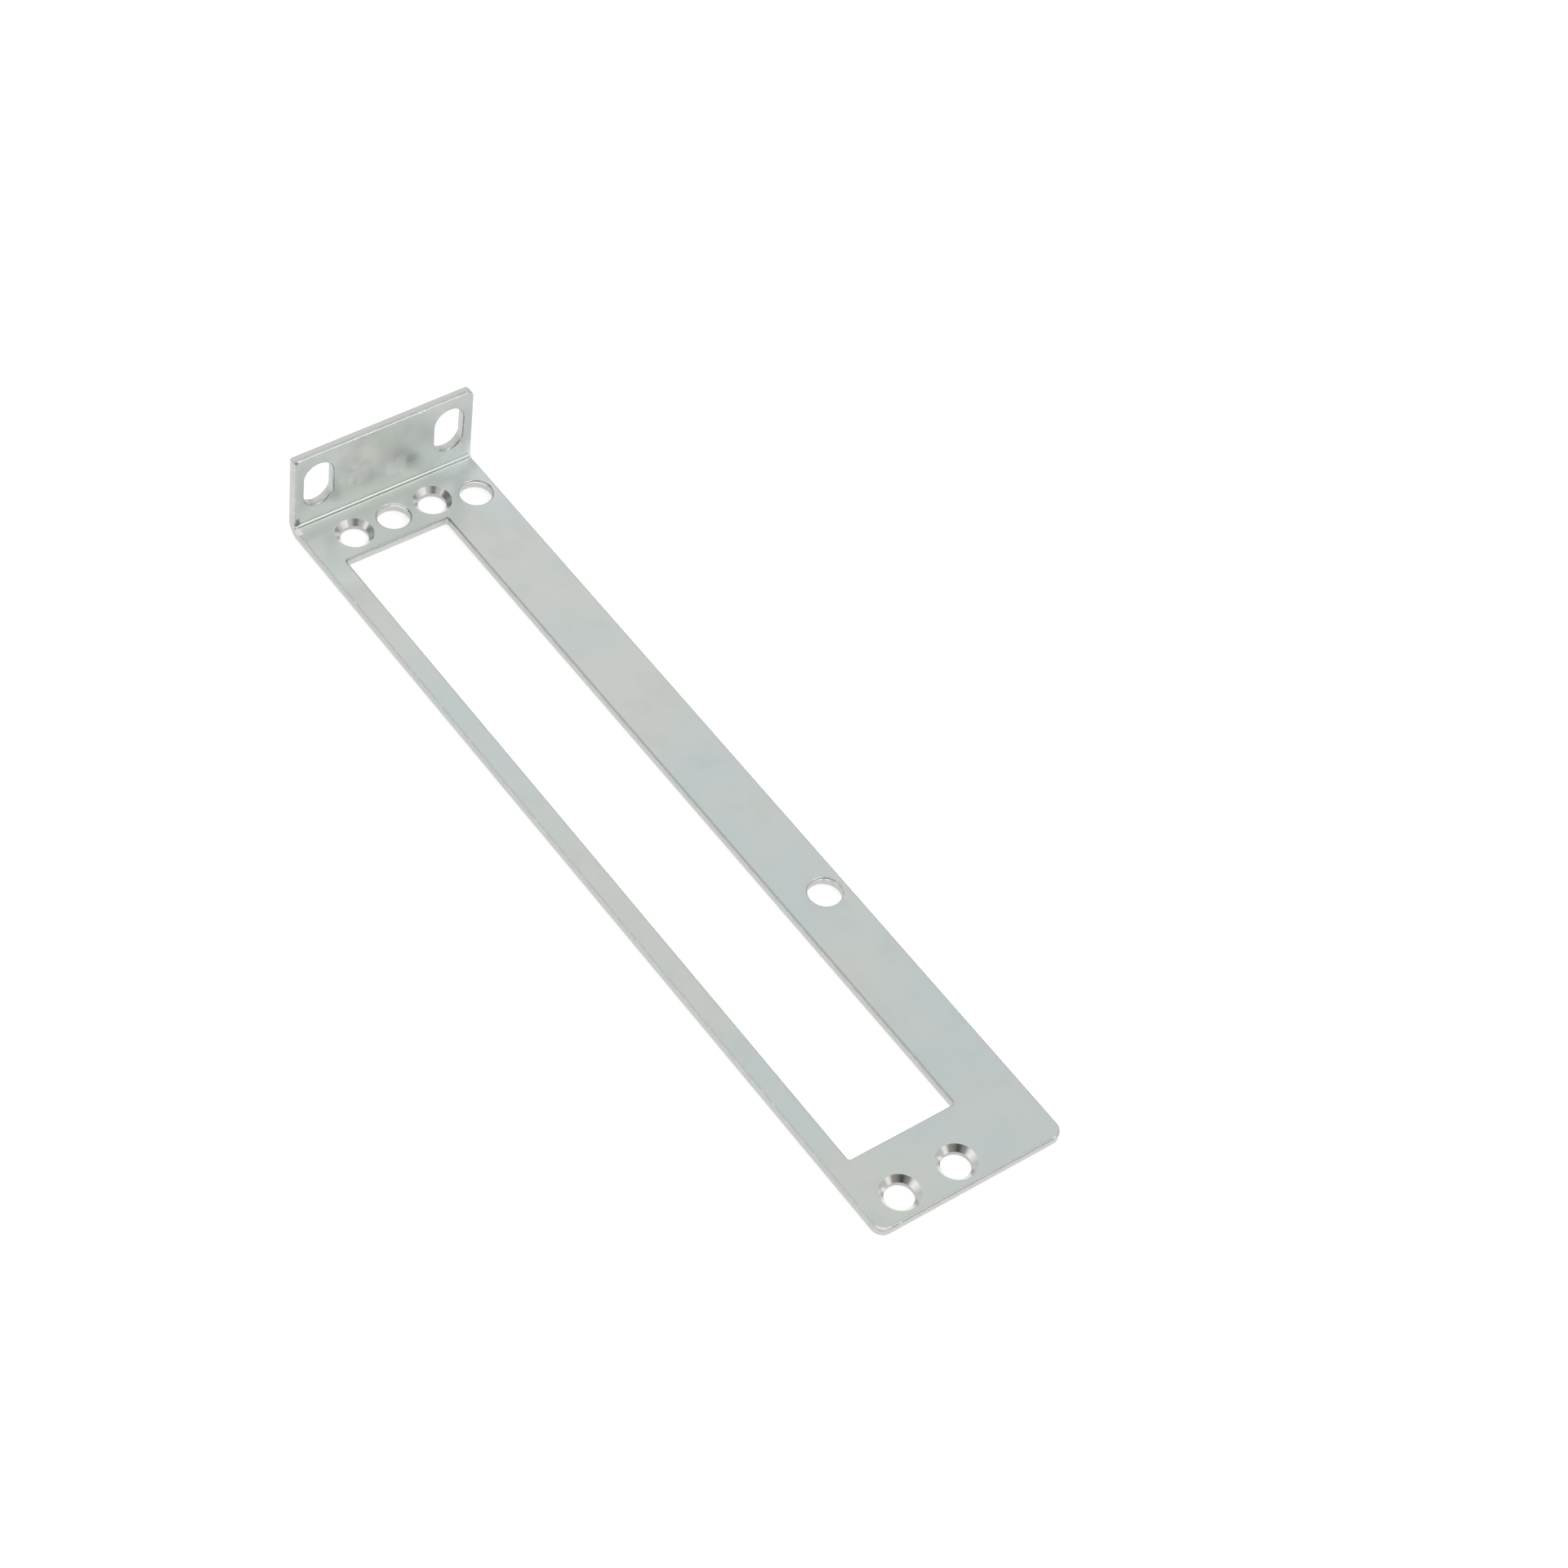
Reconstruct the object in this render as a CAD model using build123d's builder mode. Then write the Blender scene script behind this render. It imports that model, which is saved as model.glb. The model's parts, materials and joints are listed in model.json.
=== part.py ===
"""Rack mount ear bracket: one piece of sheet steel, punched, countersunk and folded once.

The long plate lies along X on the side of the equipment, with its outer face down at z = 0.
The short tab stands up at the low X end. Its inner face, towards +X, rests on the rack's rail.
The origin is under the middle of the bracket, on the plate's outer face.
"""

from build123d import *
import os

os.makedirs("parts", exist_ok=True)

# Sheet
thickness = 2.0
inner_bend_radius = 0.8
rolled_edge_radius = 0.35

# Outline of the folded piece
length = 207.6
width = 43.5
tab_height = 21.2
front_corner_radius = 2.5
narrow_tab_corner_radius = 0.5
wide_tab_corner_radius = 1.5

# Strips of plate left round the window
narrow_strip = 4.8
wide_strip = 14.0
front_strip = 16.3
tab_end_strip = 14.8
window_corner_radius = 0.6

# Upright slots in the tab, which take the rack screws
slot_width = 7.0
slot_length = 11.5
slot_from_side = 5.875
slot_from_tab_top = 8.75

# Countersunk holes for flat head screws, in a pair at each end of the plate
screw_hole_diameter = 6.0
countersink_diameter = 8.25
countersink_angle = 90
tab_pair_pitch = 19.05
tab_pair_from_tab_face = 9.0
tab_pair_from_wide_side = 23.55
front_pair_pitch = 13.2
front_pair_from_front = 5.4
front_pair_from_narrow_side = 15.2

# Plain holes, one between the tab pair and two in the wide strip
plain_hole_diameter = 7.0
corner_hole_from_tab_face = 11.7
middle_hole_from_tab_face = 137.3
strip_holes_from_wide_side = 4.9

# Places worked out from the sizes above
tab_face = -length / 2
front = length / 2
narrow_side = -width / 2
wide_side = width / 2
inner_tab_face = tab_face + thickness
slot_height = tab_height - slot_from_tab_top
slot_pitch = width - 2 * slot_from_side
window_length = length - tab_end_strip - front_strip
window_width = width - narrow_strip - wide_strip
window_centre = (
    tab_face + tab_end_strip + window_length / 2,
    narrow_side + narrow_strip + window_width / 2,
)
tab_pair_centre = (
    tab_face + tab_pair_from_tab_face,
    wide_side - tab_pair_from_wide_side,
)
front_pair_centre = (
    front - front_pair_from_front,
    narrow_side + front_pair_from_narrow_side,
)
corner_hole_centre = (
    tab_face + corner_hole_from_tab_face,
    wide_side - strip_holes_from_wide_side,
)
middle_hole_centre = (
    tab_face + middle_hole_from_tab_face,
    wide_side - strip_holes_from_wide_side,
)
inner_plate_plane = Plane.XY.offset(thickness)
inner_tab_plane = Plane.YZ.offset(inner_tab_face)

with BuildPart() as rack_ear:
    # Folded section: the sheet's inner line, given its thickness on the outer side of the bend
    with BuildSketch(Plane.XZ):
        with BuildLine():
            FilletPolyline(
                (inner_tab_face, tab_height),
                (inner_tab_face, thickness),
                (front, thickness),
                radius=inner_bend_radius,
            )
            offset(amount=thickness, side=Side.RIGHT)
        make_face()
    extrude(amount=width / 2, both=True)

    # Corners of the plate's free end and of the tab's top
    plate_corners = rack_ear.edges().filter_by(Axis.Z).group_by(Axis.X)[-1]
    fillet(plate_corners, front_corner_radius)
    narrow_tab_corner = rack_ear.edges().filter_by(Axis.X).group_by(Axis.Y)[0].sort_by(Axis.Z)[-1]
    fillet(narrow_tab_corner, narrow_tab_corner_radius)
    wide_tab_corner = rack_ear.edges().filter_by(Axis.X).group_by(Axis.Y)[-1].sort_by(Axis.Z)[-1]
    fillet(wide_tab_corner, wide_tab_corner_radius)

    # Window
    with BuildSketch(inner_plate_plane):
        with Locations(window_centre):
            RectangleRounded(window_length, window_width, window_corner_radius)
    extrude(amount=-thickness, mode=Mode.SUBTRACT)

    # Rack slots
    with BuildSketch(inner_tab_plane):
        with Locations((0, slot_height)):
            with GridLocations(slot_pitch, 0, 2, 1):
                SlotOverall(slot_length, slot_width, rotation=90)
    extrude(amount=-thickness, mode=Mode.SUBTRACT)

    # Plain holes
    with Locations(inner_plate_plane):
        with Locations(tab_pair_centre, corner_hole_centre, middle_hole_centre):
            Hole(plain_hole_diameter / 2, depth=thickness)

    # Edges rolled over by the punch, all round the inner face of the plate, the bend and the tab
    plate_face = rack_ear.faces().filter_by(Axis.Z).sort_by(Axis.Z)[-2]
    tab_inner_face = rack_ear.faces().filter_by(Axis.X).sort_by(Axis.X)[1]
    rolled_edges = plate_face.edges() + tab_inner_face.edges()
    fillet(rolled_edges, rolled_edge_radius)

    # Countersunk holes, cut after the edges are rolled because their rims stay crisp
    screw_pairs = [(tab_pair_centre, tab_pair_pitch), (front_pair_centre, front_pair_pitch)]
    for pair_centre, pair_pitch in screw_pairs:
        with Locations(inner_plate_plane):
            with Locations(pair_centre):
                with GridLocations(0, pair_pitch, 1, 2):
                    CounterSinkHole(
                        radius=screw_hole_diameter / 2,
                        counter_sink_radius=countersink_diameter / 2,
                        depth=thickness,
                        counter_sink_angle=countersink_angle,
                    )

rack_ear.part.label = "rack_ear"
export_step(rack_ear.part, "parts/rack_ear.step")
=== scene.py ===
"""A folded rack ear in bright zinc, with punched edges and turned countersinks, in a pale studio."""

import json
import logging
import math
from dataclasses import dataclass, field
from enum import Enum
from typing import Any, Mapping, Sequence

import bpy
import numpy as np
from mathutils import Matrix, Vector
from mathutils.geometry import delaunay_2d_cdt


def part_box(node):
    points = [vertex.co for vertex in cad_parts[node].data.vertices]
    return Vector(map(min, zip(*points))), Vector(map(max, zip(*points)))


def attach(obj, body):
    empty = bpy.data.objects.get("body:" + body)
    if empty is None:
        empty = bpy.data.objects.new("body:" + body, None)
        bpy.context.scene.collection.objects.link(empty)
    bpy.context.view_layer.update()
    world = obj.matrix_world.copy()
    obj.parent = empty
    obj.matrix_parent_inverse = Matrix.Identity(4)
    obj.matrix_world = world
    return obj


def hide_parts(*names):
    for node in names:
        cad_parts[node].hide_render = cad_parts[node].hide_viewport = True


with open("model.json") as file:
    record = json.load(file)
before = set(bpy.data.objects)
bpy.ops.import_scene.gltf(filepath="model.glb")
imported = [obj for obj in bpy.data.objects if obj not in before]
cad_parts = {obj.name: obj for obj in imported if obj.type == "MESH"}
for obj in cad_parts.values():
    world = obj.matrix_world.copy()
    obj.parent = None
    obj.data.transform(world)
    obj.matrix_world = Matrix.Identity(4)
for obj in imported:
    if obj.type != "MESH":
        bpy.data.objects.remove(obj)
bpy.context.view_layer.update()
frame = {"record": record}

MM = 0.001
Colour = tuple[float, float, float]
Span = tuple[float, float]
log = logging.getLogger("rack_ear")

# X inside the tab's thickness, between its outer face and its inner one
WITHIN_TAB = (-102.8 * MM, -102.4 * MM)

# Sections of the cut edges: steps, how the torn band sets in, and the last sliver at the outer face
CORNER_STEPS = 5
CONE_STEPS = 8
TEAR_START = 0.25 * MM
TEAR_SHARES = (0.0, 0.35, 0.7, 1.0)
FOOT = 0.05 * MM
FOOT_BACK = 0.02 * MM

# Points nearer than this are one: along a cut in metres, and in the triangulation in millimetres
SAME_PLACE = 1e-7
SAME_CORNER = 1e-6

# The triangulation's choice to keep only what lies inside the outline
INSIDE_THE_OUTLINE = 1

# Steps along the cut and down the section, from one corner of a wall's face to the next
FACE_CORNERS = ((0, 0), (1, 0), (1, 1), (0, 1))


class Finish(Enum):
    """The finishes of the sheet, in the order of its material slots."""

    FACE = 0
    ROLLED = 1
    SHEARED = 2
    TORN = 3
    TURNED = 4


class Signal:
    """A shader socket with arithmetic: an expression on signals adds the Math nodes that work it out."""

    def __init__(self, shader: "Shader", socket: bpy.types.NodeSocket) -> None:
        """Wraps one output socket of a shader.

        Args:
            shader: the shader that the socket belongs to.
            socket: the output socket.
        """
        self.shader = shader
        self.socket = socket

    def __add__(self, other: "Signal | float") -> "Signal":
        """This plus other."""
        return self.shader.math("ADD", self, other)

    def __radd__(self, other: float) -> "Signal":
        """Other plus this."""
        return self.shader.math("ADD", other, self)

    def __sub__(self, other: "Signal | float") -> "Signal":
        """This minus other."""
        return self.shader.math("SUBTRACT", self, other)

    def __rsub__(self, other: float) -> "Signal":
        """Other minus this."""
        return self.shader.math("SUBTRACT", other, self)

    def __mul__(self, other: "Signal | float") -> "Signal":
        """This times other."""
        return self.shader.math("MULTIPLY", self, other)

    def __rmul__(self, other: float) -> "Signal":
        """Other times this."""
        return self.shader.math("MULTIPLY", other, self)

    def __abs__(self) -> "Signal":
        """This without its sign."""
        return self.shader.math("ABSOLUTE", self, 0.0)


class Shader:
    """The node tree of one material or world, and the few ways in which nodes are added to it."""

    def __init__(self, tree: bpy.types.NodeTree) -> None:
        """Empties the tree.

        Args:
            tree: the node tree to fill.
        """
        self.tree = tree
        self.tree.nodes.clear()

    def node(self, kind: str, settings: Mapping[str, Any], inputs: Mapping[Any, Any]) -> bpy.types.Node:
        """Adds a node.

        Args:
            kind: the node's type.
            settings: its properties, set before its sockets.
            inputs: the value of each socket, or the signal or socket that feeds it.

        Returns:
            The node.
        """
        made = self.tree.nodes.new(kind)
        for name, value in settings.items():
            setattr(made, name, value)
        for name, value in inputs.items():
            self._feed(made.inputs[name], value)
        return made

    def _feed(self, socket: bpy.types.NodeSocket, value: Any) -> None:
        """Links or sets one input socket.

        Args:
            socket: the input.
            value: a signal or a socket to link, a colour, or a plain value.
        """
        if isinstance(value, Signal):
            self.tree.links.new(value.socket, socket)
        elif isinstance(value, bpy.types.NodeSocket):
            self.tree.links.new(value, socket)
        elif isinstance(value, tuple) and socket.type == "RGBA":
            socket.default_value = (*value, 1.0)
        else:
            socket.default_value = value

    def out(self, node: bpy.types.Node, name: str) -> Signal:
        """One output of a node, as a signal."""
        return Signal(self, node.outputs[name])

    def part(self, vector: Signal, axis: str) -> Signal:
        """The X, Y or Z of a vector."""
        return self.out(self.node("ShaderNodeSeparateXYZ", {}, {"Vector": vector}), axis)

    def math(self, operation: str, first: Signal | float, second: Signal | float) -> Signal:
        """A Math node of two terms."""
        made = self.node("ShaderNodeMath", {"operation": operation}, {0: first, 1: second})
        return self.out(made, "Value")

    def remap(self, signal: Signal, low: float, high: float, start: float, end: float) -> Signal:
        """Carries low..high smoothly to start..end, and holds it there."""
        made = self.node(
            "ShaderNodeMapRange",
            {"interpolation_type": "SMOOTHSTEP"},
            {"Value": signal, "From Min": low, "From Max": high, "To Min": start, "To Max": end},
        )
        return self.out(made, "Result")

    def blend(self, share: Signal | float, first: Any, second: Any) -> Signal:
        """A mix of two colours: all first at share 0, all second at share 1."""
        made = self.node(
            "ShaderNodeMix",
            {"data_type": "RGBA"},
            {"Factor": share, 6: first, 7: second},
        )
        return Signal(self, made.outputs[2])

    def noise(
        self, place: Any, size: float, detail: float = 2.0, stretch: Sequence[float] = (1, 1, 1)
    ) -> Signal:
        """Cloudy noise.

        Args:
            place: the coordinates that it follows, in metres.
            size: the width of one cloud, in metres.
            detail: how many finer octaves it holds.
            stretch: how many times longer a cloud is along each axis.

        Returns:
            The noise, near 0.5 on average.
        """
        scaled = self.node(
            "ShaderNodeVectorMath",
            {"operation": "MULTIPLY"},
            {0: place, 1: tuple(1 / (size * s) for s in stretch)},
        )
        made = self.node(
            "ShaderNodeTexNoise",
            {},
            {"Vector": scaled.outputs["Vector"], "Scale": 1.0, "Detail": detail, "Roughness": 0.55},
        )
        return self.out(made, "Fac")

    def bump(self, height: Signal, distance: float, strength: float, below: Any = None) -> Signal:
        """A normal that follows a height.

        Args:
            height: the height, where 1 stands for distance.
            distance: the real height in metres.
            strength: how much of it shows.
            below: a normal to add it to.

        Returns:
            The bent normal.
        """
        inputs = {"Height": height, "Distance": distance, "Strength": strength}
        if below is not None:
            inputs["Normal"] = below
        return self.out(self.node("ShaderNodeBump", {}, inputs), "Normal")

    def object_place(self) -> Signal:
        """The place on the piece, in metres."""
        return self.out(self.node("ShaderNodeTexCoord", {}, {}), "Object")

    def sheet_place(self) -> Signal:
        """The place on the flat blank, or along and across a cut edge, in metres."""
        return self.out(self.node("ShaderNodeUVMap", {"uv_map": EarSheet.UV_NAME}, {}), "UV")

    def metal(self, colour: Any, roughness: Any, normal: Signal, bare: Signal | float = 1.0) -> None:
        """Ends the tree in a metal surface. Where bare is 0 it is a matt white instead, which the painted
        highlights use.
        """
        surface = self.node(
            "ShaderNodeBsdfPrincipled",
            {},
            {"Base Color": colour, "Metallic": bare, "Roughness": roughness, "Normal": normal},
        )
        self.node("ShaderNodeOutputMaterial", {}, {"Surface": surface.outputs["BSDF"]})


def seen_ray(shader: Shader) -> Signal:
    """1 where the camera or a glossy or clear surface looks, and 0 for the light itself.

    Args:
        shader: the shader that asks.

    Returns:
        That 1 or 0.
    """
    path = shader.node("ShaderNodeLightPath", {}, {})
    camera, glossy, clear = (
        shader.out(path, name) for name in ("Is Camera Ray", "Is Glossy Ray", "Is Transmission Ray")
    )
    return shader.math("MINIMUM", camera + glossy + clear, 1.0)


def new_material(name: str) -> tuple[bpy.types.Material, Shader]:
    """A material with an empty node tree.

    Args:
        name: the material's name.

    Returns:
        The material and its shader.
    """
    material = bpy.data.materials.new(name)
    material.use_nodes = True
    return material, Shader(material.node_tree)


def new_object(name: str, data: bpy.types.ID) -> bpy.types.Object:
    """Adds an object to the scene.

    Args:
        name: the object's name.
        data: its mesh, camera or lamp.

    Returns:
        The object, at the origin.
    """
    made = bpy.data.objects.new(name, data)
    bpy.context.scene.collection.objects.link(made)
    return made


@dataclass(frozen=True, kw_only=True)
class Spots:
    """Small places on the sheet, each a centre and a radius.

    A spot is full up to its core, a share of the radius. Its rim may be ragged, by clouds whose size
    is a share of the radius too, and spots on the tab may be kept off its outer face.
    """

    spots: tuple[tuple[float, float, float, float], ...]
    strength: float = 1.0
    ragged: float = 0.0
    inner_face_only: bool = False
    core: float = 0.5
    rim_cloud: float = 0.7

    def share(self, shader: Shader, place: Signal) -> Signal:
        """The strength in a spot, fading to 0 at its radius.

        Args:
            shader: the finish's shader.
            place: the place on the piece.

        Returns:
            The share of the spots there.
        """
        total = 0.0
        for x, y, z, radius in self.spots:
            apart = shader.node("ShaderNodeVectorMath", {"operation": "DISTANCE"}, {0: place, 1: (x, y, z)})
            far = shader.out(apart, "Value")
            if self.ragged:
                far = far + self.ragged * radius * (shader.noise(place, self.rim_cloud * radius, 3.0) - 0.5)
            total = shader.remap(far, self.core * radius, radius, self.strength, 0) + total
        if self.inner_face_only:
            total = total * shader.remap(shader.part(place, "X"), *WITHIN_TAB, 0, 1)
        return total


@dataclass(frozen=True, kw_only=True)
class Marks(Spots):
    """Spots with a colour and a roughness of their own."""

    colour: Colour
    roughness: float

    def mark(self, shader: Shader, place: Signal, colour: Any, rough: Any) -> tuple[Signal, Signal]:
        """Puts the spots on a finish.

        Args:
            shader: the finish's shader.
            place: the place on the piece.
            colour: the colour so far.
            rough: the roughness so far.

        Returns:
            The colour and the roughness with the spots.
        """
        share = self.share(shader, place)
        return shader.blend(share, colour, self.colour), rough + (self.roughness - rough) * share


# Painted highlight: matt white spots on the rounded front corner and on the front rim, standing in for the
# glints there.
PAINTED_CORNER_GLINTS = Marks(
    spots=(
        (102.9 * MM, -20.9 * MM, 1.6 * MM, 1.5 * MM),
        (103.8 * MM, -17.0 * MM, 1.6 * MM, 0.5 * MM),
    ),
    colour=(0.96, 0.96, 0.95),
    roughness=0.75,
)
# Painted highlight: matt white spots at the narrow end of the bend, for the light on the bulge that the
# fold squeezes out there, which the mesh lacks.
PAINTED_BULGE_HIGHLIGHT = Marks(
    spots=(
        (-101.0 * MM, -21.2 * MM, 2.1 * MM, 0.9 * MM),
        (-100.2 * MM, -21.2 * MM, 2.0 * MM, 0.7 * MM),
    ),
    colour=(0.97, 0.97, 0.96),
    roughness=0.40,
)
# Painted highlight: the rims of two plain holes, where white dashes along the top of the wall stand in for
# glints.
PAINTED_RIM_GLINTS = Spots(
    spots=(
        (-94.7 * MM, 19.2 * MM, 1.6 * MM, 2.6 * MM),
        (31.6 * MM, 19.6 * MM, 1.6 * MM, 3.2 * MM),
    ),
)
# Painted highlight: a white crescent at the rim of the middle plain hole, standing in for the glint of its
# burr.
PAINTED_HOLE_GLINT = Marks(
    spots=((-97.1 * MM, 1.0 * MM, 1.7 * MM, 2.6 * MM),),
    colour=(0.96, 0.965, 0.955),
    roughness=0.55,
)
# A paler, glossier patch on the narrow strip, at the window's end by the tab.
PALE_PATCH = Marks(
    spots=((-88.5 * MM, -18.0 * MM, 2.0 * MM, 8.0 * MM),),
    colour=(0.700, 0.730, 0.710),
    roughness=0.30,
)
# A paler, glossier ragged cloud low on the tab's inner face, by the wide side.
PALE_TAB_CLOUD = Marks(
    spots=((-101.8 * MM, 18.0 * MM, 3.0 * MM, 6.0 * MM),),
    colour=(0.690, 0.720, 0.705),
    roughness=0.36,
    strength=0.45,
    ragged=1.2,
    inner_face_only=True,
)
# Painted reflection: paler ragged clouds on the tab's inner face, where it mirrors the plate's holes with
# the white beneath them.
PAINTED_HOLE_REFLECTIONS = Marks(
    spots=(
        (-101.8 * MM, 3.1 * MM, 8.6 * MM, 3.4 * MM),
        (-101.8 * MM, -6.7 * MM, 10.9 * MM, 3.6 * MM),
    ),
    colour=(0.680, 0.708, 0.690),
    roughness=0.38,
    strength=0.60,
    ragged=2.0,
    inner_face_only=True,
)
# Painted reflection: a dark ragged fleck on the tab's inner face, beside the paler hole reflections, as a
# darker part of the holes mirrored there.
PAINTED_DARK_REFLECTION = Marks(
    spots=((-101.8 * MM, 6.8 * MM, 8.8 * MM, 1.7 * MM),),
    colour=(0.400, 0.420, 0.405),
    roughness=0.45,
    strength=0.50,
    ragged=2.0,
    inner_face_only=True,
)
# Painted shade: a darker ragged cloud on the tab's inner face by the wide side, for the darker, shaded
# floor that it mirrors.
PAINTED_TAB_SHADE = Marks(
    spots=((-101.8 * MM, 20.5 * MM, 12.0 * MM, 7.0 * MM),),
    colour=(0.485, 0.510, 0.497),
    roughness=0.40,
    ragged=1.2,
    inner_face_only=True,
)
# Painted shade: two dark spots above the painted bulge highlight at the bend's narrow end, for the shaded
# side of that bulge; and a dark spot at the narrow top corner of the tab.
DARK_SPOTS = Marks(
    spots=(
        (-101.8 * MM, -20.9 * MM, 3.2 * MM, 0.9 * MM),
        (-101.8 * MM, -20.9 * MM, 4.2 * MM, 0.6 * MM),
        (-101.9 * MM, -21.3 * MM, 21.0 * MM, 0.5 * MM),
    ),
    colour=(0.32, 0.33, 0.32),
    roughness=0.5,
)


@dataclass(frozen=True)
class PaintedBendLine:
    """A line painted along the bend, a highlight where pale and shade where dark: its turn in degrees, half
    width, strength and colour.

    The core, where it is full, and the fade, where it ends, are in half widths.
    """

    turn: float
    half: float
    strength: float
    colour: Colour
    core: float = 0.3
    fade: float = 1.5

    def share(self, shader: Shader, run: Signal, fold: "Fold") -> Signal:
        """How much of the line lies at a run of the blank.

        Args:
            shader: the finish's shader.
            run: the run.
            fold: the fold.

        Returns:
            The share.
        """
        middle = fold.tab_run + math.radians(self.turn) * fold.inner_radius
        near = shader.remap(abs(run - middle), self.core * self.half, self.fade * self.half, 1, 0)
        return self.strength * near


@dataclass(frozen=True)
class RolledZinc:
    """Bright zinc on rolled sheet: satin, clouded in faint blue and straw, with fine grain along it."""

    cool: Colour = (0.592, 0.634, 0.630)
    warm: Colour = (0.632, 0.648, 0.606)
    dull: Colour = (0.540, 0.572, 0.552)
    # The darker colour of the tab's stains with painted shade, and of the painted shade beside the bend.
    stain_and_shade: Colour = (0.446, 0.474, 0.456)
    pale_band_colour: Colour = (0.700, 0.730, 0.715)
    # Painted highlight and painted shade along the bend: a white line near its start and a dark line past
    # its middle.
    painted_bend_lines: tuple[PaintedBendLine, ...] = (
        PaintedBendLine(16, 0.16 * MM, 0.20, (0.96, 0.965, 0.96)),
        PaintedBendLine(52, 0.12 * MM, 0.50, (0.30, 0.31, 0.30)),
    )
    ridge: float = 0.22 * MM
    ridge_runs: Span = (-0.05 * MM, 0.42 * MM)
    groove: float = 0.15 * MM
    groove_runs: Span = (0.55 * MM, 0.90 * MM)
    inner_side: Span = (-102.0 * MM, -101.4 * MM)
    tab_heights: Span = (2.5 * MM, 9 * MM)
    pale_band_starts: Span = (-99 * MM, -96 * MM)
    pale_band_ends: Span = (-91 * MM, -84 * MM)
    pale_band_share: float = 0.4
    cloud_size: float = 34 * MM
    cloud_range: Span = (0.36, 0.64)
    mottle_size: float = 6 * MM
    dull_range: Span = (0.45, 0.75)
    dull_share: float = 0.35
    darkening_size: float = 9 * MM
    darkening_range: Span = (0.38, 0.62)
    darkening_shares: Span = (0.25, 0.58)
    # Where the painted shade beside the bend sets in and fades, measured from the bend's end, and its
    # strength.
    bend_shade_start: Span = (-0.3 * MM, 0)
    bend_shade_end: Span = (1 * MM, 4 * MM)
    bend_shade_share: float = 0.60
    wave_size: float = 3.5 * MM
    wave_height: float = 0.02 * MM
    grain_size: float = 0.35 * MM
    grain_length: float = 14
    grain_height: float = 0.003 * MM
    roughness: float = 0.30
    tab_roughness: float = 0.40
    mottle_roughness: float = 0.08
    grain_roughness: float = 0.06

    def build(self, fold: "Fold") -> bpy.types.Material:
        """The finish of the sheet's faces and bend.

        Args:
            fold: the fold, along whose bend the painted lines lie.

        Returns:
            The material.
        """
        material, shader = new_material("bright_zinc_face")
        place = shader.object_place()
        sheet = shader.sheet_place()
        clouds = shader.noise(place, self.cloud_size, 2.0)
        mottle = shader.noise(place, self.mottle_size, 3.0)
        grain = shader.noise(sheet, self.grain_size, 2.0, (self.grain_length, 1, 1))
        tint = shader.blend(shader.remap(clouds, *self.cloud_range, 0, 1), self.cool, self.warm)
        dulled = shader.remap(mottle, *self.dull_range, 0, self.dull_share)
        colour = shader.blend(dulled, tint, self.dull)
        # Painted shade with real stains: mottled darkening over the tab, for the darker floor that it
        # mirrors.
        darkening_noise = shader.noise(place, self.darkening_size, 3.0)
        darkening = shader.remap(darkening_noise, *self.darkening_range, *self.darkening_shares)
        on_tab = self.on_tab(shader, place)
        colour = shader.blend(darkening * on_tab, colour, self.stain_and_shade)
        run = shader.part(sheet, "X")
        colour = shader.blend(self.pale_band(shader, place), colour, self.pale_band_colour)
        # Painted shade: the plate darkens towards the bend, as the crease's shade.
        from_fold = run - (fold.tab_run + fold.bend_run)
        bend_shade = shader.remap(from_fold, *self.bend_shade_end, self.bend_shade_share, 0)
        bend_shade = bend_shade * shader.remap(from_fold, *self.bend_shade_start, 0, 1)
        colour = shader.blend(bend_shade, colour, self.stain_and_shade)
        inside = self.inside(shader, place)
        # Painted highlight and shade lines on the inner side of the bend.
        for line in self.painted_bend_lines:
            colour = shader.blend(line.share(shader, run, fold) * inside, colour, line.colour)
        rough = self.roughness + self.mottle_roughness * (mottle - 0.5)
        rough = rough + self.grain_roughness * (grain - 0.5)
        rough = rough + (self.tab_roughness - self.roughness) * on_tab
        for marks in (PALE_PATCH, PALE_TAB_CLOUD, PAINTED_HOLE_REFLECTIONS, PAINTED_DARK_REFLECTION, PAINTED_TAB_SHADE, PAINTED_BULGE_HIGHLIGHT, DARK_SPOTS):
            colour, rough = marks.mark(shader, place, colour, rough)
        wavy = shader.bump(shader.noise(place, self.wave_size, 2.0), self.wave_height, 0.2)
        pressed = shader.bump(self.pressed(shader, run, fold) * inside, 1 * MM, 1.0, wavy)
        normal = shader.bump(grain, self.grain_height, 0.3, pressed)
        # Where the painted bulge highlight lies, the face is matt white, not metal.
        shader.metal(colour, rough, normal, 1.0 - PAINTED_BULGE_HIGHLIGHT.share(shader, place))
        return material

    def pressed(self, shader: Shader, run: Signal, fold: "Fold") -> Signal:
        """The relief that the fold left in the bend: a ridge, less the groove past it.

        Args:
            shader: the finish's shader.
            run: the run.
            fold: the fold.

        Returns:
            Its height, in millimetres.
        """
        turned = run - fold.tab_run
        ridge = shader.remap(turned, *self.ridge_runs, 0, self.ridge / MM)
        groove = shader.remap(turned, *self.groove_runs, 0, self.groove / MM)
        return ridge - groove

    def on_tab(self, shader: Shader, place: Signal) -> Signal:
        """1 on the tab, where stains and painted shade darken it, and 0 on the plate."""
        return shader.remap(shader.part(place, "Z"), *self.tab_heights, 0, 1)

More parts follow.
